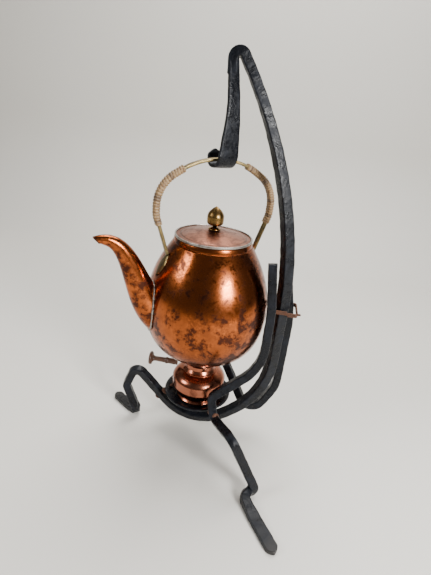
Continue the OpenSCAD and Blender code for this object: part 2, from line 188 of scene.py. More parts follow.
def carried(path: Array, side: Array) -> Array:
    """A sideways direction carried along the path without twisting."""
    out, n = [], np.array(side, float)
    for t in tangents(path):
        n = unit(n - (n @ t) * t)
        out.append(n)
    return np.array(out)


# ---- surfaces ----------------------------------------------------------------


@dataclass
class Shell:
    """A closed surface: rings of points, each ring closed on itself.

    Attributes:
        rings: Array (rings, points, 3) in mm; rings turn anticlockwise about the way of travel.
        loop: True if the last ring joins the first; otherwise both ends are closed to a centre.
        shade: Array (rings, points) from 0 to 1 that a finish may read.
    """

    rings: Array
    loop: bool = False
    shade: Array | None = None

    def tables(self) -> tuple[Array, Array, list[list[int]]]:
        """Vertices, their shade, and faces that look outwards."""
        m, n, _ = self.rings.shape
        shade = np.zeros((m, n)) if self.shade is None else np.broadcast_to(self.shade, (m, n))
        verts, tone = self.rings.reshape(-1, 3), shade.reshape(-1)
        rows = m if self.loop else m - 1
        i, j = np.meshgrid(np.arange(rows), np.arange(n), indexing="ij")
        k, i2 = (j + 1) % n, (i + 1) % m
        faces = np.stack([i * n + j, i * n + k, i2 * n + k, i2 * n + j], axis=-1).reshape(-1, 4).tolist()
        if not self.loop:
            verts = np.vstack([verts, self.rings[0].mean(0), self.rings[-1].mean(0)])
            tone = np.concatenate([tone, [shade[0].mean(), shade[-1].mean()]])
            first, last, base = m * n, m * n + 1, (m - 1) * n
            faces += [[first, (q + 1) % n, q] for q in range(n)]
            faces += [[last, base + q, base + (q + 1) % n] for q in range(n)]
        return verts, tone, faces

    def moved(self, matrix: Matrix) -> "Shell":
        """The shell carried by a turn and a shift (in mm)."""
        m = np.array(matrix)
        return Shell(self.rings @ m[:3, :3].T + m[:3, 3], self.loop, self.shade)


def turned(profile: Array, sides: int = 144, loop: bool = False, shade: Array | None = None) -> Shell:
    """Turns a profile about +Z.

    Args:
        profile: (radius, height) rows, upwards on the outside. Without loop the ends are closed.
        sides: Steps round the axis.
        loop: True for a closed outline, such as a ring.
        shade: Shade of each profile row.

    Returns:
        The shell, with radius r and angle a giving (r cos a, r sin a, z).
    """
    angle = np.linspace(0, 2 * math.pi, sides, endpoint=False)
    r, z = profile[:, 0][:, None], profile[:, 1][:, None]
    rings = np.stack([r * np.cos(angle), r * np.sin(angle), z + 0 * angle], axis=-1)
    return Shell(rings, loop, None if shade is None else np.asarray(shade)[:, None])


def outline(points: list[Point], radius: float = 0.5, steps: int = 5, closed: bool = True) -> Array:
    """Profile with every corner rounded by a parabola; a corner on short sides gets a smaller one.

    Args:
        points: Corners in order.
        radius: How far from the corner the rounding starts.
        steps: Steps in each rounding.
        closed: False leaves the first and last point as they are.

    Returns:
        Points, one row each.
    """
    p = np.array(points, float)
    n = len(p)
    out = []
    for i in range(n):
        if not closed and i in (0, n - 1):
            out.append(p[i][None])
            continue
        a, q, b = p[i - 1], p[i], p[(i + 1) % n]
        la, lb = np.linalg.norm(a - q), np.linalg.norm(b - q)
        reach = min(radius, la * 0.45, lb * 0.45)
        t = np.linspace(0, 1, steps + 1)[:, None]
        start, end = q + (a - q) / la * reach, q + (b - q) / lb * reach
        out.append(start * (1 - t) ** 2 + q * 2 * t * (1 - t) + end * t**2)
    return np.vstack(out)


def section(count: int, power: float) -> Array:
    """Outline |x|^power + |y|^power = 1: 2 is an ellipse and 8 a square with rounded corners."""
    a = np.linspace(0, 2 * math.pi, count, endpoint=False) + math.pi / count
    c, s = np.cos(a), np.sin(a)
    return np.stack([np.sign(v) * np.abs(v) ** (2 / power) for v in (c, s)], axis=1)


def ringed(path: Array, sides: Array, w: Array, h: Array, q: Array) -> Array:
    """Rings of a section along a path: point = path + side * w * x + (tangent x side) * h * y.

    Args:
        path: Points of the path.
        sides: Direction across the section at each point.
        w: Half width, for each ring and section point.
        h: Half depth, likewise.
        q: The section's (x, y) rows.

    Returns:
        Array (rings, points, 3).
    """
    other = np.cross(tangents(path), sides)
    across, over = (w * q[:, 0])[..., None], (h * q[:, 1])[..., None]
    return path[:, None] + sides[:, None] * across + other[:, None] * over


def swept(path: Array, sides: Array, half_w: Array, half_h: Array, power: float = 8.0, count: int = 32,
          hammer: float = 0.0, shade: Array | None = None) -> Shell:
    """Sweeps a section along a path, with hammered flats where asked.

    Args:
        path: Points of the path.
        sides: Direction across the section at each point.
        half_w: Half width along sides at each point.
        half_h: Half depth across them at each point.
        power: Squareness of the section.
        count: Points in the section.
        hammer: Depth of the hammered flats in mm, always inwards.
        shade: Shade at each point of the path.

    Returns:
        The shell.
    """
    s = travelled(path)[:, None]
    a = np.linspace(0, 2 * math.pi, count, endpoint=False)[None]
    short, long = np.sin(0.52 * s + 1.7 * np.sin(2 * a)), np.sin(0.29 * s + 2.3 * np.cos(a + 0.4))
    dent = hammer * (0.5 + 0.25 * short + 0.25 * long)
    w = np.broadcast_to(np.asarray(half_w, float), (len(path),))[:, None] - dent
    h = np.broadcast_to(np.asarray(half_h, float), (len(path),))[:, None] - dent
    rings = ringed(path, sides, w, h, section(count, power))
    return Shell(rings, False, None if shade is None else np.asarray(shade)[:, None])


def round_rod(path: Array, side: Array, radius: float, count: int = 12) -> Shell:
    """A wire of even radius along a path."""
    return swept(path, carried(path, side), radius, radius, power=2, count=count)


# ---- finishes ----------------------------------------------------------------


@dataclass(frozen=True)
class Finish:
    """A procedural finish.

    Attributes:
        name: Material name.
        clean: Colour of the clean surface.
        aged: Colour of the patches.
        metallic: How metallic it is.
        rough: Roughness of the clean and the aged surface.
        scale: Patches to the metre, roughly.
        cover: Share of the surface under patches.
        speck: Share of fine specks.
        grain: Bump height.
        grain_scale: Bumps to the metre, roughly.
        shade: Colour that the mesh's shade attribute brings in: painted shade on the spout, the cane's
            grooves and the lid's groove; wear on the feet, char on the wick and the cane's darker bands.
        stretch: Squash of the patches along each axis.
        gloss: Strength of a non-metal's reflections.
    """

    name: str
    clean: Colour
    aged: Colour
    metallic: float
    rough: tuple[float, float]
    scale: float = 40.0
    cover: float = 0.4
    speck: float = 0.2
    grain: float = 0.1
    grain_scale: float = 300.0
    shade: Colour = (0.02, 0.02, 0.02)
    stretch: tuple[float, float, float] = (1.0, 1.0, 1.0)
    gloss: float = 0.5


IRON = Finish(
    "forged_iron", (0.003, 0.0032, 0.004), (0.008, 0.0095, 0.014), metallic=0.0, rough=(0.26, 0.5),
    scale=90, cover=0.45, speck=0.3, grain=0.6, grain_scale=300, shade=(0.036, 0.033, 0.03), gloss=0.2)
RUST = Finish(
    "rusty_steel", (0.07, 0.035, 0.022), (0.14, 0.055, 0.028), metallic=0.35, rough=(0.55, 0.85),
    scale=350, cover=0.5, speck=0.4, grain=0.5, grain_scale=1500)
# COPPER's shade colour is painted shade at the spout's beak, mouth and inside.
COPPER = Finish(
    "aged_copper", (0.54, 0.135, 0.030), (0.06, 0.019, 0.011), metallic=1.0, rough=(0.10, 0.34),
    scale=70, cover=0.50, speck=0.56, grain=0.05, grain_scale=90, shade=(0.03, 0.022, 0.018))
# LID_COPPER's shade colour is painted shade in the lid's outer groove.
LID_COPPER = Finish(
    "lid_copper", (0.36, 0.135, 0.075), (0.12, 0.045, 0.028), metallic=1.0, rough=(0.24, 0.45),
    scale=80, cover=0.5, speck=0.5, grain=0.08, grain_scale=160, shade=(0.04, 0.025, 0.02))
BURNER_COPPER = Finish(
    "burner_copper", (0.38, 0.13, 0.072), (0.13, 0.045, 0.026), metallic=1.0, rough=(0.2, 0.36),
    scale=60, cover=0.35, speck=0.2, grain=0.05, grain_scale=160, shade=(0.08, 0.04, 0.03))
BRASS = Finish(
    "aged_brass", (0.27, 0.19, 0.075), (0.07, 0.065, 0.04), metallic=1.0, rough=(0.3, 0.55),
    scale=170, cover=0.42, speck=0.5, grain=0.15, grain_scale=700)
KNOB_BRASS = Finish(
    "knob_brass", (0.34, 0.20, 0.06), (0.12, 0.07, 0.03), metallic=1.0, rough=(0.22, 0.4),
    scale=130, cover=0.4, speck=0.25, grain=0.06, grain_scale=500)
TIN = Finish(
    "tinned", (0.42, 0.39, 0.35), (0.14, 0.12, 0.105), metallic=0.9, rough=(0.3, 0.5),
    scale=140, cover=0.45, speck=0.4, grain=0.2, grain_scale=500)
# CANE's shade colour is painted shade in the cane's grooves and the colour of its darker bands.
CANE = Finish(
    "cane", (0.36, 0.225, 0.095), (0.17, 0.09, 0.036), metallic=0.0, rough=(0.42, 0.6),
    scale=330, cover=0.45, speck=0.2, grain=0.2, grain_scale=1500, shade=(0.055, 0.028, 0.014))
WOOD = Finish(
    "dark_wood", (0.045, 0.02, 0.012), (0.085, 0.035, 0.018), metallic=0.0, rough=(0.28, 0.45),
    scale=200, cover=0.5, speck=0.2, grain=0.1, grain_scale=600, shade=(0.02, 0.01, 0.006),
    stretch=(0.15, 1.0, 1.0))
COTTON = Finish(
    "cotton", (0.66, 0.61, 0.5), (0.45, 0.4, 0.31), metallic=0.0, rough=(0.9, 0.95),
    scale=900, cover=0.5, speck=0.3, grain=0.6, grain_scale=3000)


class FinishShop:
    """Makes materials from finishes, all from one shared node group."""

    def __init__(self) -> None:
        self.group = self._ageing_group()
        self.made: dict[str, bpy.types.Material] = {}

    @staticmethod
    def _ageing_group() -> bpy.types.NodeTree:
        """Group that mixes a clean and an aged surface by noise and gives colour, roughness and height.

        Patches and flecks change colour and roughness. A veil, broader and fainter, changes only colour.
        """
        tree = bpy.data.node_groups.new("ageing", "ShaderNodeTree")
        face = tree.interface
        for name in ("Clean", "Aged", "Shade"):
            face.new_socket(name=name, in_out="INPUT", socket_type="NodeSocketColor")
        face.new_socket(name="Stretch", in_out="INPUT", socket_type="NodeSocketVector")
        for name in ("Scale", "Cover", "Speck", "Rough clean", "Rough aged", "Grain scale"):
            face.new_socket(name=name, in_out="INPUT", socket_type="NodeSocketFloat")
        face.new_socket(name="Color", in_out="OUTPUT", socket_type="NodeSocketColor")
        face.new_socket(name="Roughness", in_out="OUTPUT", socket_type="NodeSocketFloat")
        face.new_socket(name="Height", in_out="OUTPUT", socket_type="NodeSocketFloat")
        nodes, link = tree.nodes, tree.links.new
        into, out = nodes.new("NodeGroupInput"), nodes.new("NodeGroupOutput")
        place = nodes.new("ShaderNodeTexCoord")
        squash = nodes.new("ShaderNodeVectorMath")
        squash.operation = "MULTIPLY"
        link(place.outputs["Object"], squash.inputs[0])
        link(into.outputs["Stretch"], squash.inputs[1])

        def noise(name: str, detail: float, factor: float, rough: float = 0.6) -> bpy.types.NodeSocket:
            """Noise at a multiple of the scale that comes in under the name."""
            times = nodes.new("ShaderNodeMath")
            times.operation = "MULTIPLY"
            times.inputs[1].default_value = factor
            link(into.outputs[name], times.inputs[0])
            made = nodes.new("ShaderNodeTexNoise")
            made.inputs["Detail"].default_value = detail
            made.inputs["Roughness"].default_value = rough
            link(squash.outputs[0], made.inputs["Vector"])
            link(times.outputs[0], made.inputs["Scale"])
            return made.outputs[0]

        def above(value: bpy.types.NodeSocket, name: str, width: float) -> bpy.types.NodeSocket:
            """0 to 1 over the width, as value rises past the level that leaves the named share covered."""
            flip = nodes.new("ShaderNodeMath")
            flip.operation = "SUBTRACT"
            flip.inputs[0].default_value = 1.0
            link(into.outputs[name], flip.inputs[1])
            squeeze = nodes.new("ShaderNodeMath")
            squeeze.operation = "MULTIPLY_ADD"
            squeeze.inputs[1].default_value = 0.5
            squeeze.inputs[2].default_value = 0.25
            link(flip.outputs[0], squeeze.inputs[0])
            gap = nodes.new("ShaderNodeMath")
            gap.operation = "SUBTRACT"
            link(value, gap.inputs[0])
            link(squeeze.outputs[0], gap.inputs[1])
            ramp = nodes.new("ShaderNodeMapRange")
            ramp.inputs["From Min"].default_value = -width
            ramp.inputs["From Max"].default_value = width
            link(gap.outputs[0], ramp.inputs["Value"])
            return ramp.outputs[0]

        def combine(operation: str, a: bpy.types.NodeSocket, b: bpy.types.NodeSocket) -> bpy.types.NodeSocket:
            """One clamped maths step."""
            step = nodes.new("ShaderNodeMath")
            step.operation, step.use_clamp = operation, True
            link(a, step.inputs[0])
            link(b, step.inputs[1])
            return step.outputs[0]

        def mixed(kind: str, share: bpy.types.NodeSocket, a: bpy.types.NodeSocket,
                  b: bpy.types.NodeSocket) -> bpy.types.NodeSocket:
            """a to b by share, for colours (RGBA) or numbers (FLOAT)."""
            mix = nodes.new("ShaderNodeMix")
            mix.data_type = kind
            first, result = {"RGBA": (6, 2), "FLOAT": (2, 0)}[kind]
            link(share, mix.inputs[0])
            link(a, mix.inputs[first])
            link(b, mix.inputs[first + 1])
            return mix.outputs[result]

        patches = above(noise("Scale", 9, 1.0, 0.72), "Cover", 0.085)
        specks = above(noise("Scale", 3, 7.0, 0.7), "Speck", 0.035)
        clouds = above(noise("Scale", 2, 0.35), "Cover", 0.3)
        marks = combine("MAXIMUM", patches, combine("MULTIPLY", specks, clouds))
        veil = nodes.new("ShaderNodeMath")
        veil.operation = "MULTIPLY"
        veil.inputs[1].default_value = 0.62
        link(above(noise("Scale", 6, 0.6), "Cover", 0.16), veil.inputs[0])
        # The shade attribute brings in painted shade on some pieces, and real wear, char or darker bands on
        # others.
        shade = nodes.new("ShaderNodeAttribute")
        shade.attribute_name = "shade"
        source = into.outputs
        tone = mixed("RGBA", combine("MAXIMUM", marks, veil.outputs[0]), source["Clean"], source["Aged"])
        link(mixed("RGBA", shade.outputs["Fac"], tone, source["Shade"]), out.inputs["Color"])
        link(mixed("FLOAT", marks, source["Rough clean"], source["Rough aged"]), out.inputs["Roughness"])
        link(noise("Grain scale", 4, 1.0), out.inputs["Height"])
        return tree

    def material(self, finish: Finish) -> bpy.types.Material:
        """The material of a finish, made once."""
        if finish.name in self.made:
            return self.made[finish.name]
        made = bpy.data.materials.new(finish.name)
        made.use_nodes = True
        nodes, link = made.node_tree.nodes, made.node_tree.links.new
        shader = nodes["Principled BSDF"]
        age = nodes.new("ShaderNodeGroup")
        age.node_tree = self.group
        for name, colour in (("Clean", finish.clean), ("Aged", finish.aged), ("Shade", finish.shade)):
            age.inputs[name].default_value = (*colour, 1.0)
        age.inputs["Stretch"].default_value = finish.stretch
        numbers = {"Scale": finish.scale, "Cover": finish.cover, "Speck": finish.speck,
                   "Rough clean": finish.rough[0], "Rough aged": finish.rough[1],
                   "Grain scale": finish.grain_scale}
        for name, value in numbers.items():
            age.inputs[name].default_value = value
        bump = nodes.new("ShaderNodeBump")
        bump.inputs["Strength"].default_value = 1.0
        bump.inputs["Distance"].default_value = finish.grain * MM
        shader.inputs["Metallic"].default_value = finish.metallic
        shader.inputs["Specular IOR Level"].default_value = finish.gloss
        link(age.outputs["Color"], shader.inputs["Base Color"])
        link(age.outputs["Roughness"], shader.inputs["Roughness"])
        link(age.outputs["Height"], bump.inputs["Height"])
        link(bump.outputs["Normal"], shader.inputs["Normal"])
        self.made[finish.name] = made
        return made


# ---- pieces ------------------------------------------------------------------


@dataclass
class Workshop:
    """Turns shells into pieces that ride on the frame."""

    finishes: FinishShop = field(default_factory=FinishShop)
    names: list[str] = field(default_factory=list)

    def add(self, name: str, shells: list[Shell], finish: Finish, body: Body, slot: str) -> None:
        """Makes one piece, which stands for the CAD node of the same name.

        Args:
            name: Piece name.
            shells: Its closed surfaces.
            finish: Its finish.
            body: The CAD body it rides on.
            slot: The record's material slot; not used.
        """
        verts, tones, faces, base = [], [], [], 0
        for shell in shells:
            v, tone, f = shell.tables()
            verts.append(v)
            tones.append(tone)
            faces += [[q + base for q in face] for face in f]
            base += len(v)
        mesh = bpy.data.meshes.new(name)
        mesh.from_pydata((np.vstack(verts) * MM).tolist(), [], faces)
        mesh.shade_smooth()
        shade = mesh.attributes.new("shade", "FLOAT", "POINT")
        shade.data.foreach_set("value", np.concatenate(tones).astype(np.float32))
        mesh.materials.append(self.finishes.material(finish))
        mesh.update()
        made = bpy.data.objects.new(name, mesh)
        bpy.context.scene.collection.objects.link(made)
        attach(made, body.value)
        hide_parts(name)
        self.names.append(name)
        log.info("%s: %d vertices, %d faces", name, base, len(faces))


# ---- stand -------------------------------------------------------------------


@dataclass(frozen=True)
class Leg:
    """One square bar of the stand, which ends in a foot.

    Attributes:
        name: Piece name.
        corners: (corner, bend radius) pairs from the free end to the last bend above the foot.
        heel: Where the leg meets the floor.
        toe: Where the foot ends.
        widths: (share of the length, width) pairs.
        twist: Turn of the section over the column, in degrees.
    """

    name: str
    corners: list[tuple[tuple[float, float, float], float]]
    heel: tuple[float, float]
    toe: tuple[float, float]
    widths: list[tuple[float, float]]
    twist: float = 0.0


@dataclass
class Stand:
    """The forged stand, its hook, its dish and the wire binding. Lengths are in mm.

    Attributes:
        shop: Workshop that makes the pieces.
        bar: Side of the square bars.
        peak: Height of the bend at the top.
        column_x: How far out the column stands.
        lean: Angle between the arm above the column and the plumb line, in degrees.
        foot_wider: Growth of a foot's half width towards the toe.
        foot_thinner: Loss of its half thickness.
        toe_round: Length of the rounded end of a foot.
        beaten: Depth of the hammered flats on a bar.
        hook_azimuth: Way that the hook's curl opens, in degrees.
        hook_thick: Thickness of the hook's strap at the peak.
        wire: Diameter of the binding wire.
        wire_z: Height of its lowest turn.
        wire_turns: Turns of wire.
        wire_pitch: Rise of each turn.
        tail: Length of the twisted ends.
        strand: Radius of each twisted strand.
        dish_floor: Height of the dish's underside.
        dish_rim: Height of its rim.
        bolt: Radius of the bolts.
        nut: Outer radius of the nuts at their flats.
    """

    shop: Workshop
    bar: float = 9.5
    peak: float = 417.0
    column_x: float = 81.0
    lean: float = 35.0
    foot_wider: float = 1.6
    foot_thinner: float = 2.1
    toe_round: float = 5.0
    beaten: float = 0.28
    hook_azimuth: float = 130.0
    hook_thick: float = 4.0
    wire: float = 1.6
    wire_z: float = 176.0
    wire_turns: int = 3
    wire_pitch: float = 1.57
    tail: float = 4.0
    strand: float = 0.68
    dish_floor: float = 48.0
    dish_rim: float = 57.5
    bolt: float = 2.0
    nut: float = 4.1

    def build(self) -> None:
        """Builds every piece of the stand."""
        for leg in self._legs():
            self._forge(leg)
        self._hook()
        self._wire()
        self._dish()
        self._bolts()

    def _legs(self) -> list[Leg]:
        """The three bars: the column's own, the one inside it and the one outside it."""
        corner_z = self.peak - self.column_x / math.tan(math.radians(self.lean))
        even = [(0, self.bar), (1, self.bar)]
        swelling = [(0, 8.8), (0.12, 9.2), (0.2, 10.5), (0.32, 12), (0.5, 12), (0.62, 10.5), (0.74, 9.5),
                    (1, 9.5)]
        main = Leg("main_bar",
                   [((1.5, -2.5, self.peak - 22), 0), ((-0.5, 0, self.peak + 10.5), 5.5),
                    ((self.column_x, 0, corner_z), 420), ((self.column_x, 0, 64.5), 105),
                    ((-3.65, 0, -3.95), 52), ((-77, 0, 76), 8), ((-88.5, 0, 45), 9)],
                   (-73, 0), (-107, 25.5), swelling, -15)
        inner = Leg("inner_bar",
                    [((62.5, -20, 235), 0), ((69.4, -24, 185), 150), ((69.4, -24, 117), 50),
                     ((20, -38, 79), 9), ((26, -44, 55), 9), ((48.5, -87.5, 72), 9), ((80, -86, 10), 5)],
                    (68, -92), (99, -140), even)
        outer = Leg("outer_bar",
                    [((84.5, 12, 203), 0), ((92.5, 12, 165), 150), ((92.5, 12, 72), 55),
                     ((69, 12, 25), 14), ((54, 12, 43), 11), ((12, 66, 86), 9), ((9, 89, 47), 9)],
                    (12, 100), (8, 145), even)
        return [main, inner, outer]

    def _forge(self, leg: Leg) -> None:
        """Sweeps a bar and beats its end into a foot that lies flat on the floor.

        Towards the toe the foot's width grows and its thickness falls, and its last few millimetres are
        rounded as the square root of the length left.

        Args:
            leg: The bar.
        """
        bar_half = self.bar / 2
        heel, toe = np.array(leg.heel, float), np.array(leg.toe, float)
        run = unit(toe - heel)
        tip = toe + run * (bar_half + 1.2)
        corners_and_foot = [*leg.corners, ((*heel, bar_half + 0.2), 7.0), ((*tip, 2.6), 0)]
        path = respaced(rounded(corners_and_foot), 1.5)
        s = travelled(path)
        left = s[-1] - s
        foot_long = float(np.hypot(*(tip - heel)))
        sides, level = self._laid(path, left, foot_long, run)
        sides = self._twisted(path, sides, leg.twist)
        half = np.interp(s / s[-1], *zip(*leg.widths)) / 2
        foot = smoothstep(-left, -foot_long * 0.97, -foot_long * 0.55)
        blunt = np.sqrt(np.clip(left / self.toe_round, 0, 1)) * 0.9 + 0.1
        wide, thick = (half + foot * self.foot_wider) * blunt, half - foot * self.foot_thinner
        wear = smoothstep(-path[:, 2], -9, -3) * 0.12 + smoothstep(-left, -16, -1) * 0.5
        on_floor = np.where(left < foot_long * 0.9, thick + 0.02, path[:, 2])
        settle = smoothstep(-left, -foot_long * 0.95, -foot_long * 0.75)
        path[:, 2] = path[:, 2] * (1 - settle) + on_floor * settle
        w, h = (wide, thick) if level else (thick, wide)
        shell = swept(path, sides, w, h, 9, 40, self.beaten, wear)
        self.shop.add(leg.name, [shell], IRON, Body.STAND, "forged_iron")

    @staticmethod
    def _laid(path: Array, left: Array, foot_long: float, run: Array) -> tuple[Array, bool]:
        """Section directions that turn near the heel until the foot lies flat.

        Args:
            path: Points of the bar.
            left: Length left to the tip at each point.
            foot_long: Length of the foot.
            run: Way that the foot points, in the floor.

        Returns:
            The side direction at each point, and whether it is level in the foot.
        """
        sides = carried(path, np.array([0.0, 1.0, 0.0]))
        end = sides[-1]
        across = np.array([-run[1], run[0], 0.0])
        level = bool(abs(across @ end) >= abs(UP @ end))
        flat = across if level else UP
        flat = flat if flat @ end > 0 else -flat
        turn = smoothstep(-left, -foot_long - 12, -foot_long + 2)[:, None]
        sides = unit(sides * (1 - turn) + flat * turn)
        ahead = tangents(path)
        return unit(sides - (sides * ahead).sum(1, keepdims=True) * ahead), level

    @staticmethod
    def _twisted(path: Array, sides: Array, twist: float) -> Array:
        """Sides turned about the bar by the twist: none up to 75 mm, all from 115 to 335 mm, none at 395."""
        share = np.clip((path[:, 2] - 75) / 40, 0, 1) * np.clip((395 - path[:, 2]) / 60, 0, 1)
        angle = (math.radians(twist) * share)[:, None]
        return sides * np.cos(angle) + np.cross(tangents(path), sides) * np.sin(angle)

    def _hook(self) -> None:
        """Strap from the peak, beaten wide and curled under the bail."""
        corners_xz = [((-1.5, self.peak - 7), 0), ((-11, 365), 120), ((-9.7, 318), 10),
                      ((11.2, 317.2), 10), ((13.5, 332), 0)]
        flat = respaced(rounded(corners_xz), 0.8)
        path = heading(self.hook_azimuth) * flat[:, :1] + UP * flat[:, 1:]
        share = travelled(path) / travelled(path)[-1]
        width = np.interp(share, [0, 0.35, 0.68, 0.84, 0.95, 1], [9.3, 13, 21, 20, 16, 11]) / 2
        end = np.sqrt(np.clip((1 - share) / 0.035, 0.02, 1))
        thick = np.interp(share, [0, 0.25, 1], [3.9, 2.0, 1.9]) * np.clip(end, 0.45, 1)
        thick = np.minimum(thick, self.hook_thick / 2)
        sides = carried(path, heading(self.hook_azimuth - 90))
        shell = swept(path, sides, width * end, thick, 6, 40, 0.2)
        self.shop.add("hook", [shell], IRON, Body.STAND, "forged_iron")

    def _wire(self) -> None:
        """Turns of wire round the bars, on a rounded square, and two ends twisted together."""
        (x0, y0), (x1, y1), bend = (72.5, -8.7), (97.3, 18.0), 2.5
        middle = ((87, y0, 0), 0)
        square = [middle, *(((x, y, 0), bend) for x, y in ((x1, y0), (x1, y1), (x0, y1), (x0, y0))), middle]
        turn = respaced(rounded(square, 8), 0.8)[:-1]
        turns = np.vstack([turn] * self.wire_turns)
        turns[:, 2] = np.linspace(self.wire_z, self.wire_z + self.wire_turns * self.wire_pitch, len(turns))
        winding = round_rod(turns, UP, self.wire / 2 * 0.98)
        start = np.array([x1 - 0.2, y0 + bend + 1, self.wire_z + 1.6])
        way = unit(np.array([0.908, -0.33, 0.259]))
        a = unit(np.cross(way, UP))
        b = unit(np.cross(way, np.cross(way, UP)))
        q = np.linspace(0, 1, 60)[:, None]
        strands = []
        for phase in (0, math.pi):
            turn = q * 9 + phase
            coil = start + way * self.tail * q + 0.62 * (a * np.cos(turn) + b * np.sin(turn))
            strands.append(round_rod(coil, a, self.strand, 10))
        self.shop.add("binding_wire", [winding, *strands], RUST, Body.STAND, "rusty_steel")

    def _dish(self) -> None:
        """The beaten iron dish."""
        f, z = self.dish_floor, self.dish_rim
        profile = [(0, f), (27, f), (39, z - 2), (39, z), (37, z), (26, f + 2), (0, f + 2)]
        dish = turned(outline(profile, 1.2, 5, False))
        self.shop.add("drip_dish", [dish], IRON, Body.STAND, "forged_iron")

    def _bolts(self) -> None:
        """Three bolts with domed heads, and their nuts."""
        bolts, nuts = [], []
        ends = [((-44.5, 0, 40.3), (-32.5, 0, 54)), ((25.3, -42.6, 59), (19, -32, 55)),
                ((44.4, 20, 49.6), (32.2, 14.2, 54))]
        for at, to in ends:
            run = Vector(to) - Vector(at)
            place = Matrix.Translation(Vector(at)) @ run.to_track_quat("Z", "Y").to_matrix().to_4x4()
            bolts.append(self._bolt(run.length).moved(place))
            nuts.append(self._nut().moved(place))
        self.shop.add("dish_bolts", bolts, RUST, Body.STAND, "rusty_steel")
        self.shop.add("dish_nuts", nuts, RUST, Body.STAND, "rusty_steel")

    def _bolt(self, length: float) -> Shell:
        """Bolt along +Z with its domed head below the bar: the dome is a quarter of an ellipse, turned."""
        under = -self.bar / 2 - 0.2
        dome = [(4 * math.sin(q), under - 0.2 - 3 * math.cos(q)) for q in np.linspace(0, math.pi / 2, 9)]
        end = length + 4
        rod = [(3.6, under), (self.bolt, under), (self.bolt, end - 0.6), (1.5, end), (0, end)]
        return turned(np.array(dome + rod), 32)

    def _nut(self) -> Shell:
        """Six-sided nut: a turned ring, cut back by cos 30 over the cosine of the angle from a flat."""
        low, bore = self.bar / 2 + 0.6, self.bolt - 0.02
        ring = [(bore, low), (self.nut, low), (self.nut, low + 3), (bore, low + 3)]
        nut = turned(outline(ring, 0.5, 4), 48, loop=True)
        x, y = nut.rings[..., 0], nut.rings[..., 1]
        wedge = (np.arctan2(y, x) % (math.pi / 3)) - math.pi / 6
        shrink = np.where(np.hypot(x, y) > 3, math.cos(math.pi / 6) / np.cos(wedge), 1.0)
        nut.rings[..., :2] *= shrink[..., None]
        return nut


# ---- kettle ------------------------------------------------------------------


